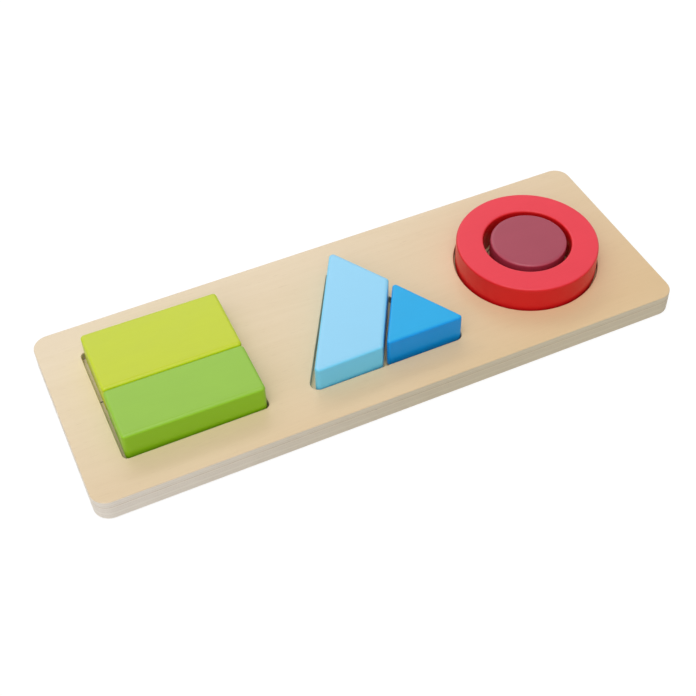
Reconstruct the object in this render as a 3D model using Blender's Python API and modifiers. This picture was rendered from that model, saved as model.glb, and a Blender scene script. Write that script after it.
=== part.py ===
"""A wooden shape puzzle: a board glued up from two plywood panels, and the
six painted blocks that lie two by two in its square, triangular and round
recesses. Lengths are in metres, with +Z up and the board's underside at Z 0."""

from math import cos, pi, radians, sin, tan

import bmesh
import bpy
from mathutils import Matrix, Vector

# Driving sizes of the board
BASE_THICKNESS = 0.0080
COVER_THICKNESS = 0.0037
BOARD_CORNER_RADIUS = 0.0080
RIM_ROUND = 0.0006
LEFT_MARGIN = 0.0198
SQUARE_TO_TRIANGLE = 0.0190
TRIANGLE_TO_CIRCLE = 0.0144
RIGHT_MARGIN = 0.0186
SIDE_MARGIN = 0.0179

# Driving sizes of the recesses, and how far behind the board's middle line each one lies
SQUARE_SIDE = 0.0702
SQUARE_CORNER_RADIUS = 0.0025
SQUARE_OFFSET = 0.0003
TRIANGLE_SIDE = 0.0846
TRIANGLE_CORNER_RADIUS = 0.0040
TRIANGLE_OFFSET = 0.0014
CIRCLE_DIAMETER = 0.0728
CIRCLE_OFFSET = -0.0009

# Driving sizes of the blocks
BLOCK_THICKNESS = 0.0167
BLOCK_CORNER_RADIUS = 0.0020
SMALL_CORNER_RADIUS = 0.0015
BLOCK_EDGE_ROUND = 0.0014
TURNED_EDGE_ROUND = 0.0011
YELLOW_DEPTH = 0.0378
TRAPEZOID_WIDTH = 0.0307
RING_HOLE_DIAMETER = 0.0442

# Clearances: what touching pieces keep, and what the blocks lack to fill their recess
TOUCH_GAP = 0.0003
RECTANGLE_END_PLAY = 0.0020
RECTANGLE_SIDE_PLAY = 0.0019
TRAPEZOID_PLAY = 0.0031
TRIANGLE_PLAY = 0.0068
RING_PLAY = 0.0014
DISC_PLAY = 0.0059

# How the blocks lie, as shares of their play: to the right, to the back, and turned to the left
YELLOW_LIE = Vector((0.22, 0.00))
GREEN_LIE = Vector((0.25, 0.00))
RECTANGLES_TURN = -0.40
TRAPEZOID_LIE = Vector((0.39, -0.04))
TRAPEZOID_TURN = 0.38
TRIANGLE_LIE = Vector((0.08, 0.03))
RING_LIE = Vector((0.12, 0.09))
DISC_LIE = Vector((0.15, 0.04))

# How finely the round stretches are stepped, and how near two points are taken for one
ARC_STEPS = 8
CIRCLE_STEPS = 72
ROUND_SEGMENTS = 4
RIM_SEGMENTS = 2
MERGE_DISTANCE = 0.00001

# Sizes worked out from the ones above
SIXTY_DEGREES = radians(60)
TRIANGLE_HEIGHT = TRIANGLE_SIDE * sin(SIXTY_DEGREES)
BOARD_LENGTH = (LEFT_MARGIN + SQUARE_SIDE + SQUARE_TO_TRIANGLE + TRIANGLE_SIDE
                + TRIANGLE_TO_CIRCLE + CIRCLE_DIAMETER + RIGHT_MARGIN)
BOARD_WIDTH = max(SQUARE_SIDE, TRIANGLE_HEIGHT, CIRCLE_DIAMETER) + 2 * SIDE_MARGIN
RECESS_FLOOR = BASE_THICKNESS
BLOCK_BOTTOM = RECESS_FLOOR + TOUCH_GAP

# The middles of the recesses; the triangle's is taken halfway up its height
SQUARE_MIDDLE = Vector((-BOARD_LENGTH / 2 + LEFT_MARGIN + SQUARE_SIDE / 2, SQUARE_OFFSET))
TRIANGLE_MIDDLE = Vector((SQUARE_MIDDLE.x + SQUARE_SIDE / 2 + SQUARE_TO_TRIANGLE + TRIANGLE_SIDE / 2,
                          TRIANGLE_OFFSET))
CIRCLE_MIDDLE = Vector((BOARD_LENGTH / 2 - RIGHT_MARGIN - CIRCLE_DIAMETER / 2, CIRCLE_OFFSET))


def clear_scene():
    """Remove whatever the opened file holds."""
    for old in list(bpy.data.objects):
        bpy.data.objects.remove(old, do_unlink=True)


def make_material(name, colour, roughness):
    """A non-metallic Principled material in one colour."""
    material = bpy.data.materials.new(name)
    material.use_nodes = True
    shader = material.node_tree.nodes["Principled BSDF"]
    shader.inputs["Base Color"].default_value = (*colour, 1.0)
    shader.inputs["Roughness"].default_value = roughness
    shader.inputs["Metallic"].default_value = 0.0
    material.diffuse_color = (*colour, 1.0)
    return material


def rectangle(width, depth):
    """The corners of a rectangle about its middle, anticlockwise from the front left."""
    return [Vector((-width / 2, -depth / 2)), Vector((width / 2, -depth / 2)),
            Vector((width / 2, depth / 2)), Vector((-width / 2, depth / 2))]


def even_triangle(height):
    """The corners of an equilateral triangle about its centroid, with its base to the front."""
    side = height / sin(SIXTY_DEGREES)
    return [Vector((-side / 2, -height / 3)), Vector((side / 2, -height / 3)), Vector((0, 2 * height / 3))]


def round_corners(corners, radius):
    """Replace each corner of an anticlockwise outline by an arc of the given radius."""
    points = []
    for index, corner in enumerate(corners):
        back = (corners[index - 1] - corner).normalized()
        ahead = (corners[(index + 1) % len(corners)] - corner).normalized()
        half_angle = back.angle(ahead) / 2
        centre = corner + (back + ahead).normalized() * radius / sin(half_angle)
        spoke = corner + back * radius / tan(half_angle) - centre
        for step in range(ARC_STEPS + 1):
            turn = Matrix.Rotation((pi - 2 * half_angle) * step / ARC_STEPS, 2)
            points.append(centre + turn @ spoke)
    return points


def circle(radius):
    """The points of a circle about its middle."""
    angles = [2 * pi * step / CIRCLE_STEPS for step in range(CIRCLE_STEPS)]
    return [Vector((radius * cos(angle), radius * sin(angle))) for angle in angles]


def moved(points, offset):
    """The same outline, moved."""
    return [point + offset for point in points]


def add_object(name, data, material, collection):
    """Put a named object with its material in the collection."""
    data.name = name
    data.materials.append(material)
    new = bpy.data.objects.new(name, data)
    collection.objects.link(new)
    return new


def add_flat_piece(name, loops, bottom, thickness, material, collection):
    """A flat piece cut from sheet: an outline, with a hole for each further loop."""
    curve = bpy.data.curves.new(name, "CURVE")
    curve.dimensions = "2D"
    curve.fill_mode = "BOTH"
    curve.extrude = thickness / 2
    for loop in loops:
        spline = curve.splines.new("POLY")
        spline.points.add(len(loop) - 1)
        for control, point in zip(spline.points, loop):
            control.co = (point.x, point.y, 0, 1)
        spline.use_cyclic_u = True
    new = add_object(name, curve, material, collection)
    new.location.z = bottom + thickness / 2
    return new


def add_panel(name, loops, bottom, thickness, rounded_side, material, collection):
    """A plywood panel whose top (1) or underside (-1) has its edges eased by a router."""
    flat = add_flat_piece(name + "_outline", loops, bottom, thickness, material, collection)
    depsgraph = bpy.context.evaluated_depsgraph_get()
    mesh = bpy.data.meshes.new_from_object(flat.evaluated_get(depsgraph))
    height = flat.location.z
    bpy.data.objects.remove(flat, do_unlink=True)

    body = bmesh.new()
    body.from_mesh(mesh)
    bmesh.ops.remove_doubles(body, verts=body.verts, dist=MERGE_DISTANCE)
    bmesh.ops.dissolve_limit(body, angle_limit=radians(1), verts=body.verts, edges=body.edges)
    rims = [edge for edge in body.edges
            if edge.calc_face_angle(0) > radians(50)
            and all(vert.co.z * rounded_side > 0 for vert in edge.verts)]
    bmesh.ops.bevel(body, geom=rims, offset=RIM_ROUND, segments=RIM_SEGMENTS, profile=0.5, affect="EDGES")
    body.to_mesh(mesh)
    body.free()

    mesh.materials.clear()
    new = add_object(name, mesh, material, collection)
    new.location.z = height
    return new


def add_block(name, corners, corner_radius, place, turn, material, collection):
    """A straight-sided block: its outline cut from thick sheet, then rounded above and below."""
    outline = round_corners(corners, corner_radius)
    new = add_flat_piece(name, [outline], BLOCK_BOTTOM, BLOCK_THICKNESS, material, collection)
    new.location.x = place.x
    new.location.y = place.y
    new.rotation_euler.z = turn
    weld = new.modifiers.new("join caps", "WELD")
    weld.merge_threshold = MERGE_DISTANCE
    flatten = new.modifiers.new("flatten caps", "DECIMATE")
    flatten.decimate_type = "DISSOLVE"
    flatten.angle_limit = radians(1)
    bevel = new.modifiers.new("round edges", "BEVEL")
    bevel.width = BLOCK_EDGE_ROUND
    bevel.segments = ROUND_SEGMENTS
    bevel.limit_method = "ANGLE"
    bevel.angle_limit = radians(50)
    bevel.use_clamp_overlap = False
    return new


def quarter_round(centre_x, centre_z, start_angle):
    """Points of a quarter turn of a turned block's edge rounding, going clockwise."""
    points = []
    for step in range(ROUND_SEGMENTS + 1):
        angle = start_angle - pi / 2 * step / ROUND_SEGMENTS
        points.append((centre_x + TURNED_EDGE_ROUND * cos(angle), centre_z + TURNED_EDGE_ROUND * sin(angle)))
    return points


def add_turned_piece(name, profile, closed, place, material, collection):
    """A turned block: a profile in X and Z, swept once round the piece's own axis."""
    mesh = bpy.data.meshes.new(name)
    edges = [(index, index + 1) for index in range(len(profile) - 1)]
    if closed:
        edges.append((len(profile) - 1, 0))
    mesh.from_pydata([(x, 0, z) for x, z in profile], edges, [])
    new = add_object(name, mesh, material, collection)
    new.location = (place.x, place.y, BLOCK_BOTTOM)
    screw = new.modifiers.new("turn", "SCREW")
    screw.axis = "Z"
    screw.steps = CIRCLE_STEPS
    screw.render_steps = CIRCLE_STEPS
    screw.use_merge_vertices = True
    screw.merge_threshold = MERGE_DISTANCE
    return new


def outer_profile(radius):
    """The rounded outer side of a turned block, from its top down to its bottom."""
    inset = radius - TURNED_EDGE_ROUND
    return (quarter_round(inset, BLOCK_THICKNESS - TURNED_EDGE_ROUND, pi / 2)
            + quarter_round(inset, TURNED_EDGE_ROUND, 0))


def hole_profile(radius):
    """The rounded inner side of a turned block, from its bottom up to its top."""
    inset = radius + TURNED_EDGE_ROUND
    return (quarter_round(inset, TURNED_EDGE_ROUND, -pi / 2)
            + quarter_round(inset, BLOCK_THICKNESS - TURNED_EDGE_ROUND, pi))


clear_scene()
puzzle = bpy.data.collections.new("shape_puzzle")
bpy.context.scene.collection.children.link(puzzle)

bare_plywood = make_material("bare_plywood", (0.80, 0.64, 0.44), 0.55)
yellow_paint = make_material("yellow_paint", (0.58, 0.68, 0.06), 0.38)
green_paint = make_material("green_paint", (0.32, 0.58, 0.10), 0.38)
light_blue_paint = make_material("light_blue_paint", (0.34, 0.68, 0.92), 0.38)
blue_paint = make_material("blue_paint", (0.03, 0.40, 0.80), 0.38)
red_paint = make_material("red_paint", (0.80, 0.05, 0.08), 0.38)
maroon_paint = make_material("maroon_paint", (0.36, 0.06, 0.10), 0.38)

# The board: a plain base panel, and on it the panel with the three cut-outs that make the recesses
board_outline = round_corners(rectangle(BOARD_LENGTH, BOARD_WIDTH), BOARD_CORNER_RADIUS)
square_outline = round_corners(rectangle(SQUARE_SIDE, SQUARE_SIDE), SQUARE_CORNER_RADIUS)
triangle_outline = round_corners(even_triangle(TRIANGLE_HEIGHT), TRIANGLE_CORNER_RADIUS)
triangle_centroid = TRIANGLE_MIDDLE + Vector((0, -TRIANGLE_HEIGHT / 6))
cut_outs = [moved(square_outline, SQUARE_MIDDLE), moved(triangle_outline, triangle_centroid),
            moved(circle(CIRCLE_DIAMETER / 2), CIRCLE_MIDDLE)]

add_panel("base_panel", [board_outline], 0, BASE_THICKNESS, -1, bare_plywood, puzzle)
add_panel("cut_out_panel", [board_outline] + cut_outs, BASE_THICKNESS + TOUCH_GAP, COVER_THICKNESS, 1,
          bare_plywood, puzzle)

# The two rectangles: a deep yellow one behind a shallower green one, turned together
rectangle_width = SQUARE_SIDE - RECTANGLE_END_PLAY
green_depth = SQUARE_SIDE - RECTANGLE_SIDE_PLAY - TOUCH_GAP - YELLOW_DEPTH
pair_depth = YELLOW_DEPTH + TOUCH_GAP + green_depth
pair_turn = RECTANGLES_TURN * RECTANGLE_SIDE_PLAY / rectangle_width
yellow_place = YELLOW_LIE * RECTANGLE_END_PLAY + Vector((0, (pair_depth - YELLOW_DEPTH) / 2))
green_place = GREEN_LIE * RECTANGLE_END_PLAY - Vector((0, (pair_depth - green_depth) / 2))
turn_pair = Matrix.Rotation(pair_turn, 2)
add_block("yellow_rectangle", rectangle(rectangle_width, YELLOW_DEPTH), BLOCK_CORNER_RADIUS,
          SQUARE_MIDDLE + turn_pair @ yellow_place, pair_turn, yellow_paint, puzzle)
add_block("green_rectangle", rectangle(rectangle_width, green_depth), BLOCK_CORNER_RADIUS,
          SQUARE_MIDDLE + turn_pair @ green_place, pair_turn, green_paint, puzzle)

# The trapezoid: an even triangle that nearly fills the recess, cut off parallel to its left side
full_height = TRIANGLE_HEIGHT - TRAPEZOID_PLAY
left_corner, right_corner, apex = even_triangle(full_height)
seam_length = TRAPEZOID_WIDTH / sin(SIXTY_DEGREES)
seam_front = left_corner + Vector((seam_length, 0))
seam_back = apex + (right_corner - apex).normalized() * seam_length
trapezoid_turn = TRAPEZOID_TURN * TRAPEZOID_PLAY / TRIANGLE_SIDE
add_block("light_blue_trapezoid", [left_corner, seam_front, seam_back, apex], BLOCK_CORNER_RADIUS,
          triangle_centroid + TRAPEZOID_LIE * TRAPEZOID_PLAY, trapezoid_turn, light_blue_paint, puzzle)

# The small triangle, in the room that the trapezoid leaves at the recess's right-hand corner
left_side_outward = Vector((-sin(SIXTY_DEGREES), cos(SIXTY_DEGREES)))
trapezoid_left_gap = TRAPEZOID_PLAY * (1 / 3 - TRAPEZOID_LIE.dot(left_side_outward))
room_height = TRIANGLE_HEIGHT - trapezoid_left_gap - TRAPEZOID_WIDTH
small_height = TRIANGLE_HEIGHT - TRAPEZOID_WIDTH - TRIANGLE_PLAY
recess_right_corner = triangle_centroid + even_triangle(TRIANGLE_HEIGHT)[1]
room_centroid = recess_right_corner - even_triangle(room_height)[1]
add_block("blue_triangle", even_triangle(small_height), SMALL_CORNER_RADIUS,
          room_centroid + TRIANGLE_LIE * (room_height - small_height), 0, blue_paint, puzzle)

# The ring, and the disc in its hole
ring_place = CIRCLE_MIDDLE + RING_LIE * RING_PLAY
ring_radius = (CIRCLE_DIAMETER - RING_PLAY) / 2
add_turned_piece("red_ring", outer_profile(ring_radius) + hole_profile(RING_HOLE_DIAMETER / 2), True,
                 ring_place, red_paint, puzzle)
disc_radius = (RING_HOLE_DIAMETER - DISC_PLAY) / 2
disc_profile = [(0, BLOCK_THICKNESS)] + outer_profile(disc_radius) + [(0, 0)]
add_turned_piece("maroon_disc", disc_profile, False, ring_place + DISC_LIE * DISC_PLAY, maroon_paint, puzzle)
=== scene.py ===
"""The wooden shape puzzle as the photograph shows it: a plywood board with a square, a
triangular and a round recess, and in each of them two painted blocks."""

from math import cos, pi, radians, sin, tan

import bpy
from mathutils import Matrix, Vector
from mathutils.geometry import tessellate_polygon


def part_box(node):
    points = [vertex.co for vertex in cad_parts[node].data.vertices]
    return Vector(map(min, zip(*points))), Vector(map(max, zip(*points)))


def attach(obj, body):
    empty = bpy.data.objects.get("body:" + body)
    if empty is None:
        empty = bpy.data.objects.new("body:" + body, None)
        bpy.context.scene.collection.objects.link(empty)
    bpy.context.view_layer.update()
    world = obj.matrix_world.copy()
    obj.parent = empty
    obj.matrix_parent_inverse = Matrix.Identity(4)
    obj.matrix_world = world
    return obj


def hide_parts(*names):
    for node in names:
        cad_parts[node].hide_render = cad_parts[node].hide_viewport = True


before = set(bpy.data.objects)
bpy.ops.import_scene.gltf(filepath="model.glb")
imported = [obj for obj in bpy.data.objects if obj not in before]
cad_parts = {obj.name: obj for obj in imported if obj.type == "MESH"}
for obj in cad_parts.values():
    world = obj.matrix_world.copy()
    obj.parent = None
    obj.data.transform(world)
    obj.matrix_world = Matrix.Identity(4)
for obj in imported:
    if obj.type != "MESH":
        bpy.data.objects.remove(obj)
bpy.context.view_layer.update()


# The base panel: 8 mm of five-ply wood that lies under everything and is the floor of the
# recesses. Its underside rim is eased, its edges are sanded bare, and dividing lines are
# printed on its face before the cut-out panel is glued on.

BOARD_CORNER_RADIUS = 0.0080
EASED_RIM = 0.0006
EASING_STEPS = 4
CORNER_STEPS = 12
SMOOTH_BELOW_ANGLE = radians(35)
FLAT_FACE_WEIGHT = 100
NOISE_ROUGHNESS = 0.55
BASE_PLY_JOINTS = (0.0012, 0.0029, 0.0046, 0.0069)
PLY_GROOVE_DEPTH = 0.00003
PLY_GROOVE_HALF_WIDTH = 0.00012

base_low, base_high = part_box("base_panel")


def rounded_corners(corners, radius):
    """A round-cornered outline, anticlockwise: for each point its arc's centre and the way out of
    it, and the radius."""
    spokes = []
    for index, corner in enumerate(corners):
        back = (corners[index - 1] - corner).normalized()
        ahead = (corners[(index + 1) % len(corners)] - corner).normalized()
        half_angle = back.angle(ahead) / 2
        centre = corner + (back + ahead).normalized() * radius / sin(half_angle)
        first = (corner + back * radius / tan(half_angle) - centre).normalized()
        for step in range(CORNER_STEPS + 1):
            turn = Matrix.Rotation((pi - 2 * half_angle) * step / CORNER_STEPS, 2)
            spokes.append((centre, turn @ first))
    return spokes, radius


def rectangle_about(middle, width, depth):
    """The corners of a rectangle, anticlockwise from the front left."""
    return [middle + Vector((side * width / 2, end * depth / 2))
            for side, end in ((-1, -1), (1, -1), (1, 1), (-1, 1))]


def easing(out, height, radius, steps, first_angle, reach=None):
    """A quarter turn of an eased edge about the point (out, height), turning towards the top. It
    reaches inwards as far as it is high, or as far as is given."""
    angles = [first_angle + pi / 2 * step / steps for step in range(steps + 1)]
    return [(out + (reach or radius) * cos(angle), height + radius * sin(angle)) for angle in angles]


def sanded_plies(joints):
    """The shallow grooves that sanding leaves where two veneers meet on a bare edge."""
    profile = []
    for height in joints:
        profile += [(0, height - PLY_GROOVE_HALF_WIDTH), (-PLY_GROOVE_DEPTH, height),
                    (0, height + PLY_GROOVE_HALF_WIDTH)]
    return profile


def shape_from_sides(name, sides):
    """A solid between flat faces. Each side is an outline, 1 for the outside or -1 for a hole,
    and its profile from the bottom face to the top one, as (out of the wood, height)."""
    vertices, faces = [], []
    bottoms, tops = [], []
    for (spokes, radius), outside, profile in sides:
        rows = []
        for out, height in profile:
            row = []
            for centre, spoke in spokes:
                row.append(len(vertices))
                vertices.append((*(centre + spoke * (radius + outside * out)), height))
            rows.append(row)
        for lower, upper in zip(rows, rows[1:]):
            for index in range(len(spokes)):
                ahead = (index + 1) % len(spokes)
                quad = (lower[index], lower[ahead], upper[ahead], upper[index])
                faces.append(quad if outside == 1 else quad[::-1])
        bottoms.append(rows[0])
        tops.append(rows[-1])
    for rings, up in ((bottoms, -1), (tops, 1)):
        order = [index for ring in rings for index in ring]
        for corners in tessellate_polygon([[Vector(vertices[index]) for index in ring] for ring in rings]):
            a, b, c = (order[corner] for corner in corners)
            from_a = Vector(vertices[a])
            across = (Vector(vertices[b]) - from_a).cross(Vector(vertices[c]) - from_a)
            faces.append((a, b, c) if across.z * up > 0 else (a, c, b))
    mesh = bpy.data.meshes.new(name)
    mesh.from_pydata(vertices, [], faces)
    mesh.validate()
    mesh.shade_smooth()
    mesh.set_sharp_from_angle(angle=SMOOTH_BELOW_ANGLE)
    piece = bpy.data.objects.new(name, mesh)
    bpy.context.scene.collection.objects.link(piece)
    weights = piece.modifiers.new("flat faces stay flat", "WEIGHTED_NORMAL")
    weights.keep_sharp = True
    weights.weight = FLAT_FACE_WEIGHT
    return piece


def set_inputs(tree, node, inputs):
    """Gives a node its inputs by name or number, as values or as sockets to link."""
    for key, value in inputs.items():
        if isinstance(value, bpy.types.NodeSocket):
            tree.links.new(value, node.inputs[key])
        else:
            node.inputs[key].default_value = value


def add_node(tree, kind, inputs=None, **settings):
    """A shader node with its settings and its inputs."""
    node = tree.nodes.new("ShaderNode" + kind)
    for name, value in settings.items():
        setattr(node, name, value)
    set_inputs(tree, node, inputs or {})
    return node


def calculate(tree, operation, first, second=0.0, clamp=False):
    """The result of one sum on one or two values."""
    return add_node(tree, "Math", {0: first, 1: second}, operation=operation, use_clamp=clamp).outputs[0]


def distance_between(tree, first, second):
    """How far two values lie apart."""
    return calculate(tree, "ABSOLUTE", calculate(tree, "SUBTRACT", first, second))


def calculate_vector(tree, operation, first, second):
    """The result of one sum on two vectors, which is a single value for a product or a distance."""
    node = add_node(tree, "VectorMath", {0: first, 1: second}, operation=operation)
    return node.outputs["Value" if operation in ("DOT_PRODUCT", "DISTANCE") else "Vector"]


def along_axis(tree, vector, axis):
    """A vector's part along x, y or z, which are 0, 1 and 2."""
    return add_node(tree, "SeparateXYZ", {0: vector}).outputs[axis]


def blend_colours(tree, share, first, second, blend_type="MIX"):
    """The first colour with a share of the second one."""
    return add_node(tree, "Mix", {0: share, 6: first, 7: second}, data_type="RGBA",
                    blend_type=blend_type).outputs[2]


def blend_values(tree, share, first, second):
    """The first value with a share of the second one."""
    return add_node(tree, "Mix", {0: share, 2: first, 3: second}, data_type="FLOAT").outputs[0]


def spread(tree, value, low, high, low_result=0.0, high_result=1.0):
    """A value's range from low to high, stretched to another one and held within it."""
    return add_node(tree, "MapRange", {0: value, 1: low, 2: high, 3: low_result, 4: high_result}).outputs[0]


def noise_along(tree, place, fineness, detail):
    """Noise with its own fineness along each axis."""
    scaled = calculate_vector(tree, "MULTIPLY", place, fineness)
    return add_node(tree, "TexNoise", {"Vector": scaled, "Scale": 1.0, "Detail": detail,
                                       "Roughness": NOISE_ROUGHNESS}).outputs[0]


def new_group(name, inputs, outputs):
    """An empty node group: its tree with named sockets, what it is given and what it puts out."""
    tree = bpy.data.node_groups.new(name, "ShaderNodeTree")
    for label, kind in inputs:
        tree.interface.new_socket(name=label, in_out="INPUT", socket_type="NodeSocket" + kind)
    for label, kind in outputs:
        tree.interface.new_socket(name=label, in_out="OUTPUT", socket_type="NodeSocket" + kind)
    return tree, tree.nodes.new("NodeGroupInput").outputs, tree.nodes.new("NodeGroupOutput").inputs


def place_group(tree, group, inputs):
    """The outputs of a group that is placed in a material."""
    node = tree.nodes.new("ShaderNodeGroup")
    node.node_tree = group
    set_inputs(tree, node, inputs)
    return node.outputs


def new_material(name):
    """A material, its node tree and its shader."""
    material = bpy.data.materials.new(name)
    material.use_nodes = True
    return material, material.node_tree, material.node_tree.nodes["Principled BSDF"]


# The face veneer's grain runs along the board: long streaks that bend a little, soft clouds, fine
# fibres and short brown flecks. Over it lies painted light: the sheet is painted paler and cooler
# towards its back left, where the sheen falls, and darker and warmer towards its front right.
# Here and below, a fineness is in waves per metre along each axis, and the values of a spread
# are where it starts and ends, and what it gives there.
STREAK_FINENESS = (11.0, 420.0, 420.0)
STREAK_TONE = (0.30, 0.70, 0.0, 0.20)
CLOUD_FINENESS = (7.0, 26.0, 26.0)
CLOUD_TONE = (0.30, 0.70, 0.0, 0.30)
FIBRE_FINENESS = (60.0, 2600.0, 2600.0)
FIBRE_TONE = (0.30, 0.70, 0.0, 0.14)
FIBRE_DEPTH = 0.5
FLECK_FINENESS = (170.0, 2300.0, 2300.0)
FLECK_SPREAD = (0.66, 0.76)
FLECK_SHARE = 0.11
FLECK_BROWN = (0.360, 0.220, 0.110, 1.0)
BEND_FINENESS = (14.0, 40.0, 40.0)
GRAIN_BEND = 0.010
# Painted light: the wood is lightened and cooled towards the back left, where the sheen falls, and darkened
# and warmed towards the front right.
TO_BACK_LEFT = (-0.30, 1.0, 0.0)
PAINTED_SHEEN_SPREAD = (-0.080, 0.080)
PAINTED_SHADE_FRONT_RIGHT = (0.925, 0.865, 0.755, 1.0)
PAINTED_SHEEN_BACK_LEFT = (1.010, 1.070, 1.180, 1.0)
FACE_ROUGHNESS = (0.30, 0.70, 0.34, 0.42)

face_veneer, given, result = new_group(
    "face veneer", [("Place", "Vector"), ("Wood", "Color"), ("Darker Wood", "Color")],
    [("Color", "Color"), ("Roughness", "Float"), ("Height", "Float")])
cloud = noise_along(face_veneer, given["Place"], CLOUD_FINENESS, detail=2.0)
bend = noise_along(face_veneer, given["Place"], BEND_FINENESS, detail=1.0)
bent = add_node(face_veneer, "CombineXYZ", {"Y": calculate(face_veneer, "MULTIPLY", bend, GRAIN_BEND)})
place = calculate_vector(face_veneer, "ADD", given["Place"], bent.outputs[0])
streak = noise_along(face_veneer, place, STREAK_FINENESS, detail=4.0)
fibre = noise_along(face_veneer, place, FIBRE_FINENESS, detail=2.0)
fleck = spread(face_veneer, noise_along(face_veneer, place, FLECK_FINENESS, detail=1.0), *FLECK_SPREAD)
tone = calculate(face_veneer, "ADD", spread(face_veneer, streak, *STREAK_TONE),
                 spread(face_veneer, cloud, *CLOUD_TONE))
tone = calculate(face_veneer, "ADD", tone, spread(face_veneer, fibre, *FIBRE_TONE))
grained = blend_colours(face_veneer, tone, given["Wood"], given["Darker Wood"])
# Painted light: the grain is multiplied by a tint that is paler to the back left, for the sheen, and darker
# to the front right.
back_left = calculate_vector(face_veneer, "DOT_PRODUCT", given["Place"], TO_BACK_LEFT)
painted_sheen_share = spread(face_veneer, back_left, *PAINTED_SHEEN_SPREAD)
painted_light_tint = blend_colours(face_veneer, painted_sheen_share, PAINTED_SHADE_FRONT_RIGHT, PAINTED_SHEEN_BACK_LEFT)
grain_under_painted_light = blend_colours(face_veneer, 1.0, grained, painted_light_tint, "MULTIPLY")
flecks = calculate(face_veneer, "MULTIPLY", fleck, FLECK_SHARE)
face_veneer.links.new(blend_colours(face_veneer, flecks, grain_under_painted_light, FLECK_BROWN), result["Color"])
face_veneer.links.new(spread(face_veneer, streak, *FACE_ROUGHNESS), result["Roughness"])
pores = calculate(face_veneer, "SUBTRACT", calculate(face_veneer, "MULTIPLY", fibre, FIBRE_DEPTH), fleck)
face_veneer.links.new(pores, result["Height"])

# The bare edge shows the veneers one above the other, with a brown glue line between them. Where
# a veneer's grain runs along the edge it is streaked, and where it runs across, its end grain is
# dotted. The joints wander a little and the glue shows only in places. The left end is painted
# paler and cooler, a painted highlight for the light that falls on it from the left.
PANEL_SEAM = 0.0081
COVER_PLY_JOINTS = (0.0095, 0.0109)
PLY_CHANGE_HALF_WIDTH = 0.00004
WANDER_FINENESS = (45.0, 45.0, 20.0)
WANDER_REACH = 0.00045
MEAN_NOISE = 0.5
GLUE_LINE = (0.00006, 0.00016, 1.0, 0.0)
GLUE_SHOWS_FINENESS = (90.0, 90.0, 30.0)
GLUE_SHOWS = (0.35, 0.60, 0.08, 0.30)
EDGE_STREAK_FINENESS = (24.0, 24.0, 1900.0)
LONG_GRAIN_STREAKS = (0.35, 0.70, 0.0, 0.30)
END_GRAIN_STREAKS = (0.30, 0.65, 0.0, 0.40)
DOT_FINENESS = (2400.0, 2400.0, 700.0)
END_GRAIN_DOTS = (0.35, 0.75, 0.0, 0.25)
# Painted light: the left end of the edges and of the glue line is lightened and cooled, for the light that
# falls there from the left.
PAINTED_LIGHT_LEFT_END = (-0.150, 0.012, 1.0, 0.0)
PAINTED_LIGHT_LEFT_TINT = (1.350, 1.420, 1.720, 1.0)
LONG_GRAIN_ROUGHNESS = 0.55
END_GRAIN_ROUGHNESS = 0.72

ply_edge, given, result = new_group(
    "ply edge", [("Place", "Vector"), ("Wood", "Color"), ("Cross Wood", "Color"), ("Glue", "Color")],
    [("Color", "Color"), ("Roughness", "Float"), ("Height", "Float")])
wander = noise_along(ply_edge, given["Place"], WANDER_FINENESS, detail=2.0)
wander = calculate(ply_edge, "MULTIPLY", calculate(ply_edge, "SUBTRACT", wander, MEAN_NOISE), WANDER_REACH)
height = calculate(ply_edge, "ADD", along_axis(ply_edge, given["Place"], 2), wander)
end_grain, glue = 0.0, 0.0
for number, joint in enumerate(BASE_PLY_JOINTS + (PANEL_SEAM,) + COVER_PLY_JOINTS):
    above = spread(ply_edge, height, joint - PLY_CHANGE_HALF_WIDTH, joint + PLY_CHANGE_HALF_WIDTH)
    end_grain = calculate(ply_edge, "ADD" if number % 2 == 0 else "SUBTRACT", end_grain, above)
    line = spread(ply_edge, distance_between(ply_edge, height, joint), *GLUE_LINE)
    glue = calculate(ply_edge, "ADD", glue, line, clamp=True)
streak = noise_along(ply_edge, given["Place"], EDGE_STREAK_FINENESS, detail=3.0)
dots = noise_along(ply_edge, given["Place"], DOT_FINENESS, detail=2.0)
long_grain = blend_colours(ply_edge, spread(ply_edge, streak, *LONG_GRAIN_STREAKS), given["Wood"],
                           given["Cross Wood"])
dotted = blend_colours(ply_edge, spread(ply_edge, dots, *END_GRAIN_DOTS), given["Cross Wood"], given["Glue"])
dotted = blend_colours(ply_edge, spread(ply_edge, streak, *END_GRAIN_STREAKS), dotted, given["Wood"])
plies = blend_colours(ply_edge, end_grain, long_grain, dotted)
# Painted light: the plies are lightened towards the left end.
painted_light_left = spread(ply_edge, along_axis(ply_edge, given["Place"], 0), *PAINTED_LIGHT_LEFT_END)
plies = blend_colours(ply_edge, painted_light_left, plies, PAINTED_LIGHT_LEFT_TINT, "MULTIPLY")
shows = noise_along(ply_edge, given["Place"], GLUE_SHOWS_FINENESS, detail=2.0)
shown_glue = calculate(ply_edge, "MULTIPLY", glue, spread(ply_edge, shows, *GLUE_SHOWS))
ply_edge.links.new(blend_colours(ply_edge, shown_glue, plies, given["Glue"]), result["Color"])
roughness = blend_values(ply_edge, end_grain, LONG_GRAIN_ROUGHNESS, END_GRAIN_ROUGHNESS)
ply_edge.links.new(roughness, result["Roughness"])
relief = calculate(ply_edge, "SUBTRACT", blend_values(ply_edge, end_grain, streak, dots), glue)
ply_edge.links.new(relief, result["Height"])

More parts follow.
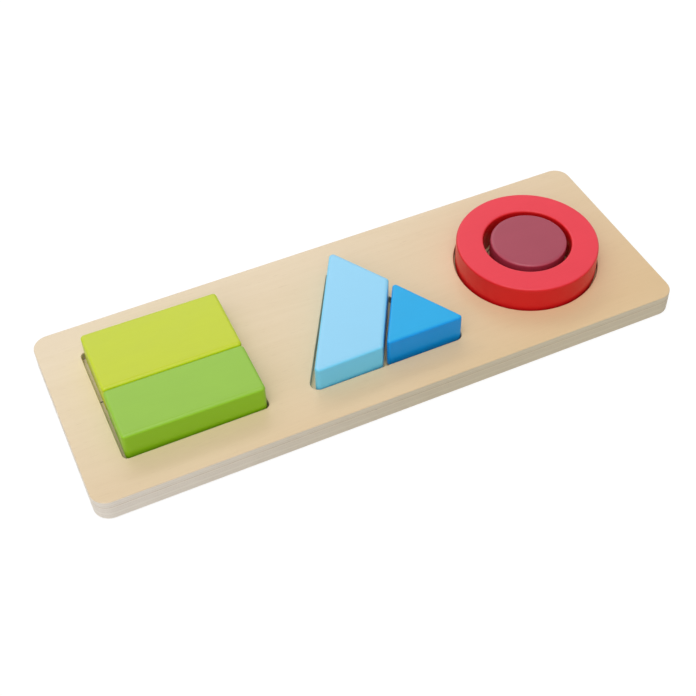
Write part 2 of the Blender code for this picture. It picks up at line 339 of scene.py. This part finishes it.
# Painted light: the base's face, which is the recess floors seen in the gaps, is paler and yellower than the
# cut-out's wood, for light that the narrow gaps let in.
LIT_RECESS_WOOD = (0.875, 0.710, 0.430, 1.0)
DARKER_LIT_RECESS_WOOD = (0.785, 0.615, 0.345, 1.0)
EDGE_WOOD = (0.704, 0.616, 0.451, 1.0)
CROSS_WOOD = (0.685, 0.597, 0.435, 1.0)
GLUE_BROWN = (0.470, 0.370, 0.260, 1.0)
FACE_UPRIGHTNESS = (0.30, 0.62)
GRAIN_BUMP = {"Strength": 0.35, "Distance": 0.00005}


def plywood(name, wood, darker_wood):
    """Clear-lacquered plywood: veneer grain on the faces and bare plies on the edges. It gives the
    material, its tree and shader, the place on the wood, how upright the surface is, and the colour."""
    material, tree, shader = new_material(name)
    coordinates = add_node(tree, "TexCoord").outputs
    place = coordinates["Object"]
    upright = calculate(tree, "ABSOLUTE", along_axis(tree, coordinates["Normal"], 2))
    flat = spread(tree, upright, *FACE_UPRIGHTNESS)
    face = place_group(tree, face_veneer, {"Place": place, "Wood": wood, "Darker Wood": darker_wood})
    edge = place_group(tree, ply_edge, {"Place": place, "Wood": EDGE_WOOD, "Cross Wood": CROSS_WOOD,
                                        "Glue": GLUE_BROWN})
    colour = blend_colours(tree, flat, edge["Color"], face["Color"])
    roughness = blend_values(tree, flat, edge["Roughness"], face["Roughness"])
    relief = blend_values(tree, flat, edge["Height"], face["Height"])
    bump = add_node(tree, "Bump", {"Height": relief, **GRAIN_BUMP})
    set_inputs(tree, shader, {"Roughness": roughness, "Normal": bump.outputs[0]})
    return material, tree, shader, place, upright, colour


SQUARE_MIDDLE = Vector((-0.0948, 0.0003))
TRIANGLE_CENTROID = Vector((0.0016, -0.01081))
CIRCLE_MIDDLE = Vector((0.0947, -0.0009))
EVEN_ANGLE = radians(60)
PRINTED_LINE = (0.00028, 0.00042, 1.0, 0.0)
PRINTED_ABOVE = 0.0079
SQUARE_LINE_BEHIND_MIDDLE = 0.0049
SQUARE_LINE_HALF_LENGTH = 0.040
TRIANGLE_LINE_FROM_CENTROID = 0.0074
TRIANGLE_LINE_HALF_WIDTH = 0.048
PRINTED_CIRCLE_RADIUS = 0.0209
INK = (0.060, 0.045, 0.035, 1.0)
INK_FINENESS = (1500.0, 1500.0, 1500.0)
INK_COVER = (0.30, 0.50, 0.70, 0.95)

printed_wood, tree, shader, place, _, wood_colour = plywood("printed_base_plywood", LIT_RECESS_WOOD,
                                                           DARKER_LIT_RECESS_WOOD)
behind = Vector((0, 1))
right_of_cut = Vector((sin(EVEN_ANGLE), -cos(EVEN_ANGLE)))
printed = 0.0
for middle, half_width, across, offset in (
        (SQUARE_MIDDLE, SQUARE_LINE_HALF_LENGTH, behind, SQUARE_LINE_BEHIND_MIDDLE),
        (TRIANGLE_CENTROID, TRIANGLE_LINE_HALF_WIDTH, right_of_cut, TRIANGLE_LINE_FROM_CENTROID)):
    from_middle = calculate_vector(tree, "SUBTRACT", place, (*middle, 0))
    away = calculate_vector(tree, "DOT_PRODUCT", from_middle, (*across, 0))
    line = spread(tree, distance_between(tree, away, offset), *PRINTED_LINE)
    sideways = calculate(tree, "ABSOLUTE", along_axis(tree, from_middle, 0))
    line = calculate(tree, "MULTIPLY", line, calculate(tree, "LESS_THAN", sideways, half_width))
    printed = calculate(tree, "ADD", printed, line)
level_place = calculate_vector(tree, "MULTIPLY", place, (1, 1, 0))
from_circle = calculate_vector(tree, "DISTANCE", level_place, (*CIRCLE_MIDDLE, 0))
circle = spread(tree, distance_between(tree, from_circle, PRINTED_CIRCLE_RADIUS), *PRINTED_LINE)
printed = calculate(tree, "ADD", printed, circle)
on_face = calculate(tree, "GREATER_THAN", along_axis(tree, place, 2), PRINTED_ABOVE)
cover_of_ink = spread(tree, noise_along(tree, place, INK_FINENESS, detail=1.0), *INK_COVER)
ink = calculate(tree, "MULTIPLY", calculate(tree, "MULTIPLY", printed, on_face), cover_of_ink)
tree.links.new(blend_colours(tree, ink, wood_colour, INK), shader.inputs["Base Color"])

board_corners = rectangle_about(Vector((0, 0)), *(base_high - base_low).xy)
board_outline = rounded_corners(board_corners, BOARD_CORNER_RADIUS)
base_profile = (easing(-EASED_RIM, EASED_RIM, EASED_RIM, EASING_STEPS, -pi / 2)
                + sanded_plies(BASE_PLY_JOINTS) + [(0, base_high.z)])
base = shape_from_sides("printed_base", [(board_outline, 1, base_profile)])
base.data.materials.append(printed_wood)
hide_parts("base_panel")
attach(base, "board")


# The cut-out panel: 3.7 mm of three-ply wood, sawn out in a square, a triangle and a circle
# and glued on the base. A router eases its top rims. In the recesses the rims and walls are
# darkened in patches, a painted shade for the shadow that lies there.

SQUARE_SIDE = 0.0702
SQUARE_CORNER_RADIUS = 0.0025
TRIANGLE_SIDE = 0.0846
TRIANGLE_CORNER_RADIUS = 0.0040
CIRCLE_RADIUS = 0.0364
CIRCLE_STEPS = 160
WOOD = (0.800, 0.630, 0.420, 1.0)
DARKER_WOOD = (0.720, 0.545, 0.335, 1.0)
# Painted shade: the dark brown put on the rims and walls inside the recesses.
RIM_SHADE_WOOD = (0.300, 0.195, 0.105, 1.0)
RIM_SHADE_FROM_UPRIGHTNESS = (0.75, 0.96, 1.0, 0.0)
RIM_SHADE_FINENESS = (70.0, 70.0, 250.0)
RIM_SHADE_SHARE = (0.35, 0.65, 0.40, 0.70)
RECESSES_WITHIN = (0.140, 0.045)

cover_low, cover_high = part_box("cut_out_panel")


def even_triangle_about(centroid, height):
    """The corners of an equilateral triangle with its base to the front."""
    half_side = height * tan(EVEN_ANGLE / 2)
    return [centroid + Vector(corner) for corner in
            ((-half_side, -height / 3), (half_side, -height / 3), (0, 2 * height / 3))]


def circle_about(middle, radius):
    """A circle in the same form as the round-cornered outlines."""
    turns = [2 * pi * step / CIRCLE_STEPS for step in range(CIRCLE_STEPS)]
    return [(middle, Vector((cos(turn), sin(turn)))) for turn in turns], radius


square_corners = rectangle_about(SQUARE_MIDDLE, SQUARE_SIDE, SQUARE_SIDE)
square_outline = rounded_corners(square_corners, SQUARE_CORNER_RADIUS)
triangle_corners = even_triangle_about(TRIANGLE_CENTROID, TRIANGLE_SIDE * sin(EVEN_ANGLE))
triangle_outline = rounded_corners(triangle_corners, TRIANGLE_CORNER_RADIUS)
circle_outline = circle_about(CIRCLE_MIDDLE, CIRCLE_RADIUS)


def board_and_recesses(profile):
    """The sides of a layer of the board with its three cut-outs, all with one profile."""
    return [(board_outline, 1, profile)] + [
        (outline, -1, profile) for outline in (square_outline, triangle_outline, circle_outline)]


cover_profile = ([(0, cover_low.z)] + sanded_plies(COVER_PLY_JOINTS)
                 + easing(-EASED_RIM, cover_high.z - EASED_RIM, EASED_RIM, EASING_STEPS, 0))
cover = shape_from_sides("cut_out_board", board_and_recesses(cover_profile))

cover_wood, tree, shader, place, upright, wood_colour = plywood("cut_out_plywood", WOOD, DARKER_WOOD)
# Painted shade: the recesses' rims and walls are darkened in patches.
share = spread(tree, noise_along(tree, place, RIM_SHADE_FINENESS, detail=2.0), *RIM_SHADE_SHARE)
painted_rim_shade = calculate(tree, "MULTIPLY", spread(tree, upright, *RIM_SHADE_FROM_UPRIGHTNESS), share)
for axis, reach in enumerate(RECESSES_WITHIN):
    inside = calculate(tree, "LESS_THAN", calculate(tree, "ABSOLUTE", along_axis(tree, place, axis)), reach)
    painted_rim_shade = calculate(tree, "MULTIPLY", painted_rim_shade, inside)
tree.links.new(blend_colours(tree, painted_rim_shade, wood_colour, RIM_SHADE_WOOD), shader.inputs["Base Color"])
cover.data.materials.append(cover_wood)
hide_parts("cut_out_panel")
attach(cover, "board")


# The glue between the two panels: a brown film that is just seen as a line round the edge
# and at the foot of the recesses' walls.

GLUE_SHORT_OF_EDGE = 0.00004
DARK_GLUE = (0.420, 0.320, 0.210, 1.0)
PALE_GLUE = (0.560, 0.450, 0.330, 1.0)
GLUE_PATCH_FINENESS = (160.0, 160.0, 160.0)
GLUE_PATCHES = (0.35, 0.65)
DARK_GLUE_ROUGHNESS = 0.35
PALE_GLUE_ROUGHNESS = 0.60

glue_profile = [(-GLUE_SHORT_OF_EDGE, base_high.z), (-GLUE_SHORT_OF_EDGE, cover_low.z)]
glue_film = shape_from_sides("glue_line", board_and_recesses(glue_profile))
glue_material, tree, shader = new_material("brown_wood_glue")
place = add_node(tree, "TexCoord").outputs["Object"]
patches = spread(tree, noise_along(tree, place, GLUE_PATCH_FINENESS, detail=3.0), *GLUE_PATCHES)
# Painted light: the glue line too is lightened towards the left end.
painted_light_left = spread(tree, along_axis(tree, place, 0), *PAINTED_LIGHT_LEFT_END)
glue = blend_colours(tree, patches, DARK_GLUE, PALE_GLUE)
set_inputs(tree, shader, {
    "Base Color": blend_colours(tree, painted_light_left, glue, PAINTED_LIGHT_LEFT_TINT, "MULTIPLY"),
    "Roughness": blend_values(tree, patches, DARK_GLUE_ROUGHNESS, PALE_GLUE_ROUGHNESS)})
glue_film.data.materials.append(glue_material)
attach(glue_film, "board")


# The two rectangles: sawn from thick solid wood, sanded round at every edge and sprayed, the
# deep one yellow-green and the shallow one green. They lie loose in the square recess.

BLOCK_CORNER_RADIUS = 0.0020
BLOCK_EDGE_ROUND = 0.0014
BLOCK_EDGE_REACH = 0.0019
BLOCK_ROUND_STEPS = 9
RECTANGLE_WIDTH = 0.0682
YELLOW_DEPTH = 0.0378
GREEN_DEPTH = 0.0302
PAIR_GAP = 0.0003
PAIR_TURN = -0.01114
YELLOW_RIGHT = 0.00044
GREEN_RIGHT = 0.00050
# The face colours hold a little painted sheen; the side colours are painted shading, purer and lighter or
# darker than the faces as the light falls.
YELLOW = (0.530, 0.615, 0.018, 1.0)
YELLOW_SIDE_SHADING = (0.560, 0.700, 0.001, 1.0)
GREEN = (0.282, 0.520, 0.048, 1.0)
GREEN_SIDE_SHADING = (0.270, 0.575, 0.001, 1.0)

# Sprayed paint is a little uneven, lets the wood's grain through as a faint relief, and wears thinner
# and paler on the rounded edges, where the paleness also serves as a painted highlight. The sides get
# their own colour as painted shading, purer and lighter or darker than the faces as the light falls.
EDGE_STARTS = (0.03, 0.30)
EDGE_ENDS = (0.75, 0.98, 1.0, 0.0)
PAINTED_SIDE_SHADING_SHARE = (0.55, 0.98, 0.90, 0.0)
MOTTLE_FINENESS = (55.0, 90.0, 90.0)
MOTTLE_TONE = (0.30, 0.70, 0.0, 0.16)
PAINT_GRAIN_FINENESS = (70.0, 1500.0, 1500.0)
PAINT_GRAIN_TONE = (0.40, 0.75, 0.0, 0.08)
WEAR_FINENESS = (220.0, 220.0, 220.0)
WEAR = (0.45, 0.75, 0.10, 0.45)
PEEL_FINENESS = (900.0, 900.0, 900.0)
PEEL_DEPTH = 0.6
PAINT_ROUGHNESS = (0.30, 0.70, 0.32, 0.38)
WORN_ROUGHNESS = 0.12

sprayed_paint, given, result = new_group(
    "sprayed paint",
    [("Place", "Vector"), ("Normal", "Vector"),
     ("Paint", "Color"), ("Thin And Highlit Paint", "Color"), ("Painted Side Shading", "Color")],
    [("Color", "Color"), ("Roughness", "Float"), ("Height", "Float")])
upright = calculate(sprayed_paint, "ABSOLUTE", along_axis(sprayed_paint, given["Normal"], 2))
rounded = calculate(sprayed_paint, "MULTIPLY", spread(sprayed_paint, upright, *EDGE_STARTS),
                    spread(sprayed_paint, upright, *EDGE_ENDS))
mottle = noise_along(sprayed_paint, given["Place"], MOTTLE_FINENESS, detail=3.0)
grain = noise_along(sprayed_paint, given["Place"], PAINT_GRAIN_FINENESS, detail=3.0)
peel = noise_along(sprayed_paint, given["Place"], PEEL_FINENESS, detail=1.0)
wear = noise_along(sprayed_paint, given["Place"], WEAR_FINENESS, detail=4.0)
# Partly real wear, partly a painted highlight: the rounded edges turn paler in patches.
wear_and_painted_highlight = calculate(sprayed_paint, "MULTIPLY", rounded, spread(sprayed_paint, wear, *WEAR))
thin_and_highlit = calculate(sprayed_paint, "ADD", wear_and_painted_highlight, spread(sprayed_paint, mottle, *MOTTLE_TONE))
thin_and_highlit = calculate(sprayed_paint, "ADD", thin_and_highlit, spread(sprayed_paint, grain, *PAINT_GRAIN_TONE), clamp=True)
coat = blend_colours(sprayed_paint, thin_and_highlit, given["Paint"], given["Thin And Highlit Paint"])
# Painted shading: upright sides take their own side colour.
coat = blend_colours(sprayed_paint, spread(sprayed_paint, upright, *PAINTED_SIDE_SHADING_SHARE), coat, given["Painted Side Shading"])
sprayed_paint.links.new(coat, result["Color"])
worn_dull = calculate(sprayed_paint, "MULTIPLY", wear_and_painted_highlight, WORN_ROUGHNESS)
roughness = calculate(sprayed_paint, "ADD", spread(sprayed_paint, mottle, *PAINT_ROUGHNESS), worn_dull)
sprayed_paint.links.new(roughness, result["Roughness"])
relief = calculate(sprayed_paint, "ADD", grain, calculate(sprayed_paint, "MULTIPLY", peel, PEEL_DEPTH))
sprayed_paint.links.new(relief, result["Height"])

SATIN_GLOSS = 0.42
# How much paler thin paint is; on the rounded edges this is also a painted highlight.
THINNING_AND_HIGHLIGHT = 1.16
WOOD_SHINES_THROUGH = 0.012
PAINT_BUMP = {"Strength": 0.30, "Distance": 0.00004}


def satin_paint(name, paint, painted_side_shading, thinning_and_highlight=THINNING_AND_HIGHLIGHT, gloss=SATIN_GLOSS):
    """A satin paint on wood, in the given colour for the flat faces and a painted shading colour for the
    sides. It turns paler where the coat is thin, which on the rounded edges is also a painted highlight."""
    material, tree, shader = new_material(name)
    coordinates = add_node(tree, "TexCoord").outputs
    thin_and_highlit = (*(min(1.0, part * thinning_and_highlight + WOOD_SHINES_THROUGH) for part in paint[:3]), 1.0)
    film = place_group(tree, sprayed_paint, {
        "Place": coordinates["Object"], "Normal": coordinates["Normal"], "Paint": paint, "Thin And Highlit Paint": thin_and_highlit,
        "Painted Side Shading": painted_side_shading})
    bump = add_node(tree, "Bump", {"Height": film["Height"], **PAINT_BUMP})
    set_inputs(tree, shader, {"Base Color": film["Color"], "Roughness": film["Roughness"],
                              "Normal": bump.outputs[0], "Specular IOR Level": gloss})
    return material


def block_profile(node, edge_round, reach=None):
    """The side of a block, with its rounded edges, between the lowest and highest point of its
    node. The upper rounding reaches inwards as far as it is high, or as far as is given."""
    low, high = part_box(node)
    reach = reach or edge_round
    return (easing(-edge_round, low.z + edge_round, edge_round, BLOCK_ROUND_STEPS, -pi / 2)
            + easing(-reach, high.z - edge_round, edge_round, BLOCK_ROUND_STEPS, 0, reach))


def finish_block(piece, node, material):
    """A block's paint, and the body that it moves with."""
    piece.data.materials.append(material)
    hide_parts(node)
    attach(piece, node)


pair_depth = YELLOW_DEPTH + PAIR_GAP + GREEN_DEPTH
pair_turn = Matrix.Rotation(PAIR_TURN, 2)
for name, node, depth, right, behind, material in (
        ("yellow_block", "yellow_rectangle", YELLOW_DEPTH, YELLOW_RIGHT, (pair_depth - YELLOW_DEPTH) / 2,
         satin_paint("yellow_satin_paint", YELLOW, YELLOW_SIDE_SHADING)),
        ("green_block", "green_rectangle", GREEN_DEPTH, GREEN_RIGHT, (GREEN_DEPTH - pair_depth) / 2,
         satin_paint("green_satin_paint", GREEN, GREEN_SIDE_SHADING))):
    corners = [SQUARE_MIDDLE + pair_turn @ corner
               for corner in rectangle_about(Vector((right, behind)), RECTANGLE_WIDTH, depth)]
    block = shape_from_sides(name, [(rounded_corners(corners, BLOCK_CORNER_RADIUS), 1,
                                     block_profile(node, BLOCK_EDGE_ROUND, BLOCK_EDGE_REACH))])
    finish_block(block, node, material)


# The trapezoid and the small triangle: one even triangle of thick wood, sawn in two parallel
# to its left side, rounded and sprayed in two blues. They lie loose in the triangular recess.

TRAPEZOID_FULL_HEIGHT = 0.070166
TRAPEZOID_WIDTH = 0.0307
TRAPEZOID_PLACE = TRIANGLE_CENTROID + Vector((0.001209, -0.000124))
TRAPEZOID_TURN = 0.01392
SMALL_TRIANGLE_HEIGHT = 0.035766
SMALL_CORNER_RADIUS = 0.0015
# The side colours are painted shading for the sides, the face colours hold a little painted sheen.
LIGHT_BLUE = (0.290, 0.650, 0.900, 1.0)
LIGHT_BLUE_SIDE_SHADING = (0.160, 0.680, 0.990, 1.0)
LIGHT_BLUE_THINNING_AND_HIGHLIGHT = 1.08
BLUE = (0.018, 0.405, 0.785, 1.0)
BLUE_SIDE_SHADING = (0.000, 0.310, 0.840, 1.0)
DEEP_PAINT_GLOSS = 0.26

left, right, apex = even_triangle_about(Vector((0, 0)), TRAPEZOID_FULL_HEIGHT)
cut_length = TRAPEZOID_WIDTH / sin(EVEN_ANGLE)
corners = [left, left + (right - left).normalized() * cut_length,
           apex + (right - apex).normalized() * cut_length, apex]
turn = Matrix.Rotation(TRAPEZOID_TURN, 2)
trapezoid_corners = [TRAPEZOID_PLACE + turn @ corner for corner in corners]
trapezoid = shape_from_sides("light_blue_block", [
    (rounded_corners(trapezoid_corners, BLOCK_CORNER_RADIUS), 1,
     block_profile("light_blue_trapezoid", BLOCK_EDGE_ROUND, BLOCK_EDGE_REACH))])
light_blue = satin_paint("light_blue_satin_paint", LIGHT_BLUE, LIGHT_BLUE_SIDE_SHADING, thinning_and_highlight=LIGHT_BLUE_THINNING_AND_HIGHLIGHT)
finish_block(trapezoid, "light_blue_trapezoid", light_blue)

small_low, small_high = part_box("blue_triangle")
small_centroid = Vector(((small_low.x + small_high.x) / 2, small_low.y + SMALL_TRIANGLE_HEIGHT / 3))
small_corners = even_triangle_about(small_centroid, SMALL_TRIANGLE_HEIGHT)
small_triangle = shape_from_sides("blue_block", [
    (rounded_corners(small_corners, SMALL_CORNER_RADIUS), 1,
     block_profile("blue_triangle", BLOCK_EDGE_ROUND))])
blue = satin_paint("blue_satin_paint", BLUE, BLUE_SIDE_SHADING, gloss=DEEP_PAINT_GLOSS)
finish_block(small_triangle, "blue_triangle", blue)


# The ring and the disc: turned from thick wood and sprayed, bright red and dark red. The ring
# fills the round recess, and the disc lies loose in its hole.

TURNED_EDGE_ROUND = 0.0011
DISC_EDGE_REACH = 0.0017
RING_HOLE_RADIUS = 0.0221
# The side colours are painted shading for the sides, the face colours hold a little painted sheen.
RED = (0.805, 0.049, 0.075, 1.0)
RED_SIDE_SHADING = (0.690, 0.004, 0.003, 1.0)
MAROON = (0.350, 0.048, 0.084, 1.0)
MAROON_SIDE_SHADING = (0.430, 0.040, 0.080, 1.0)


def round_node(node):
    """The middle and the radius of a round node, from its lowest and highest corner."""
    low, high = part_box(node)
    return ((low + high) / 2).xy, (high.x - low.x) / 2


ring_middle, ring_radius = round_node("red_ring")
ring_profile = block_profile("red_ring", TURNED_EDGE_ROUND)
ring = shape_from_sides("red_ring_block", [
    (circle_about(ring_middle, ring_radius), 1, ring_profile),
    (circle_about(ring_middle, RING_HOLE_RADIUS), -1, ring_profile)])
finish_block(ring, "red_ring", satin_paint("red_satin_paint", RED, RED_SIDE_SHADING, gloss=DEEP_PAINT_GLOSS))

disc = shape_from_sides("maroon_disc_block", [
    (circle_about(*round_node("maroon_disc")), 1,
     block_profile("maroon_disc", TURNED_EDGE_ROUND, DISC_EDGE_REACH))])
finish_block(disc, "maroon_disc", satin_paint("maroon_satin_paint", MAROON, MAROON_SIDE_SHADING))


# The studio: a white floor that keeps a soft shadow, a white surround, three lamps and the camera
# at the photograph's place. A long panel behind gives the tops their sheen, a narrow sun overhead
# lights the gaps, and a wide one from the front left lights the blocks' sides.

FLOOR_REACH = 3.0
FLOOR_BELOW = 0.0002
FLOOR_GREY = (0.62, 0.62, 0.62, 1.0)
SEEN_FLOOR_GLOW = 0.84
SEEN_FLOOR_SHADE = (0.20, 0.20, 0.20, 1.0)
WHITE = (1.0, 1.0, 1.0, 1.0)
SURROUND_LIGHT = 0.35
SEEN_SURROUND = 1.0
BACK_LAMP_PLACE = Vector((-0.10, 0.96, 0.87))
BACK_LAMP_SIZE = (1.40, 0.25)
BACK_LAMP_POWER = 3.0
TOP_LAMP_FROM = Vector((-0.14, -0.12, 1.00))
TOP_LAMP_STRENGTH = 0.86
TOP_LAMP_WIDTH = radians(34)
FRONT_LAMP_FROM = Vector((-0.55, -0.60, 1.00))
FRONT_LAMP_STRENGTH = 1.05
FRONT_LAMP_WIDTH = radians(70)
CAMERA_AZIMUTH = radians(-23.173)
CAMERA_ELEVATION = radians(47.525)
CAMERA_ROLL = radians(-1.992)
CAMERA_DISTANCE = 0.598664
CAMERA_LENS = 62.834
CAMERA_FILM_WIDTH = 36.0
LOOKED_AT = Vector((-0.008032, -0.007119, 0))

floor_mesh = bpy.data.meshes.new("floor")
floor_mesh.from_pydata([(x * FLOOR_REACH, y * FLOOR_REACH, -FLOOR_BELOW)
                        for x, y in ((-1, -1), (1, -1), (1, 1), (-1, 1))], [], [(0, 1, 2, 3)])
floor = bpy.data.objects.new("floor", floor_mesh)
bpy.context.scene.collection.objects.link(floor)


def seen_directly(tree):
    """1 where the camera sees a surface, straight on, by reflection or through glass."""
    path = add_node(tree, "LightPath").outputs
    seen = calculate(tree, "MAXIMUM", path["Is Camera Ray"], path["Is Glossy Ray"])
    return calculate(tree, "MAXIMUM", seen, path["Is Transmission Ray"])


floor_white, tree, shader = new_material("white_floor")
set_inputs(tree, shader, {"Base Color": FLOOR_GREY, "Roughness": 1.0, "Specular IOR Level": 0.0})
glow = add_node(tree, "Emission", {"Color": WHITE, "Strength": SEEN_FLOOR_GLOW})
shade = add_node(tree, "BsdfDiffuse", {"Color": SEEN_FLOOR_SHADE})
shown = add_node(tree, "AddShader", {0: glow.outputs[0], 1: shade.outputs[0]})
either = add_node(tree, "MixShader", {0: seen_directly(tree), 1: shader.outputs[0], 2: shown.outputs[0]})
tree.links.new(either.outputs[0], tree.nodes["Material Output"].inputs["Surface"])
floor_mesh.materials.append(floor_white)

world = bpy.data.worlds.new("white surround")
world.use_nodes = True
bpy.context.scene.world = world
tree = world.node_tree
background = tree.nodes["Background"]
background.inputs["Color"].default_value = WHITE
tree.links.new(blend_values(tree, seen_directly(tree), SURROUND_LIGHT, SEEN_SURROUND),
               background.inputs["Strength"])


def hang_lamp(name, kind, strength, direction):
    """A lamp that shines at the origin from the given direction."""
    lamp = bpy.data.objects.new(name, bpy.data.lights.new(name, kind))
    lamp.data.energy = strength
    lamp.rotation_mode = "QUATERNION"
    lamp.rotation_quaternion = direction.to_track_quat("Z", "Y")
    bpy.context.scene.collection.objects.link(lamp)
    return lamp


back_lamp = hang_lamp("back_lamp", "AREA", BACK_LAMP_POWER, BACK_LAMP_PLACE)
back_lamp.location = BACK_LAMP_PLACE
back_lamp.data.shape = "RECTANGLE"
back_lamp.data.size, back_lamp.data.size_y = BACK_LAMP_SIZE
back_lamp.visible_camera = False

top_lamp = hang_lamp("top_lamp", "SUN", TOP_LAMP_STRENGTH, TOP_LAMP_FROM)
top_lamp.data.angle = TOP_LAMP_WIDTH

front_lamp = hang_lamp("front_lamp", "SUN", FRONT_LAMP_STRENGTH, FRONT_LAMP_FROM)
front_lamp.data.angle = FRONT_LAMP_WIDTH

back = Vector((sin(CAMERA_AZIMUTH) * cos(CAMERA_ELEVATION), -cos(CAMERA_AZIMUTH) * cos(CAMERA_ELEVATION),
               sin(CAMERA_ELEVATION)))
level = Vector((0, 0, 1)).cross(back).normalized()
facing = Matrix((level, back.cross(level), back)).transposed().to_4x4()
camera = bpy.data.objects.new("camera", bpy.data.cameras.new("camera"))
camera.data.lens = CAMERA_LENS
camera.data.sensor_width = CAMERA_FILM_WIDTH
camera.matrix_world = (Matrix.Translation(LOOKED_AT + back * CAMERA_DISTANCE) @ facing
                       @ Matrix.Rotation(CAMERA_ROLL, 4, "Z"))
bpy.context.scene.collection.objects.link(camera)
bpy.context.scene.camera = camera
bpy.context.scene.view_settings.view_transform = "Standard"
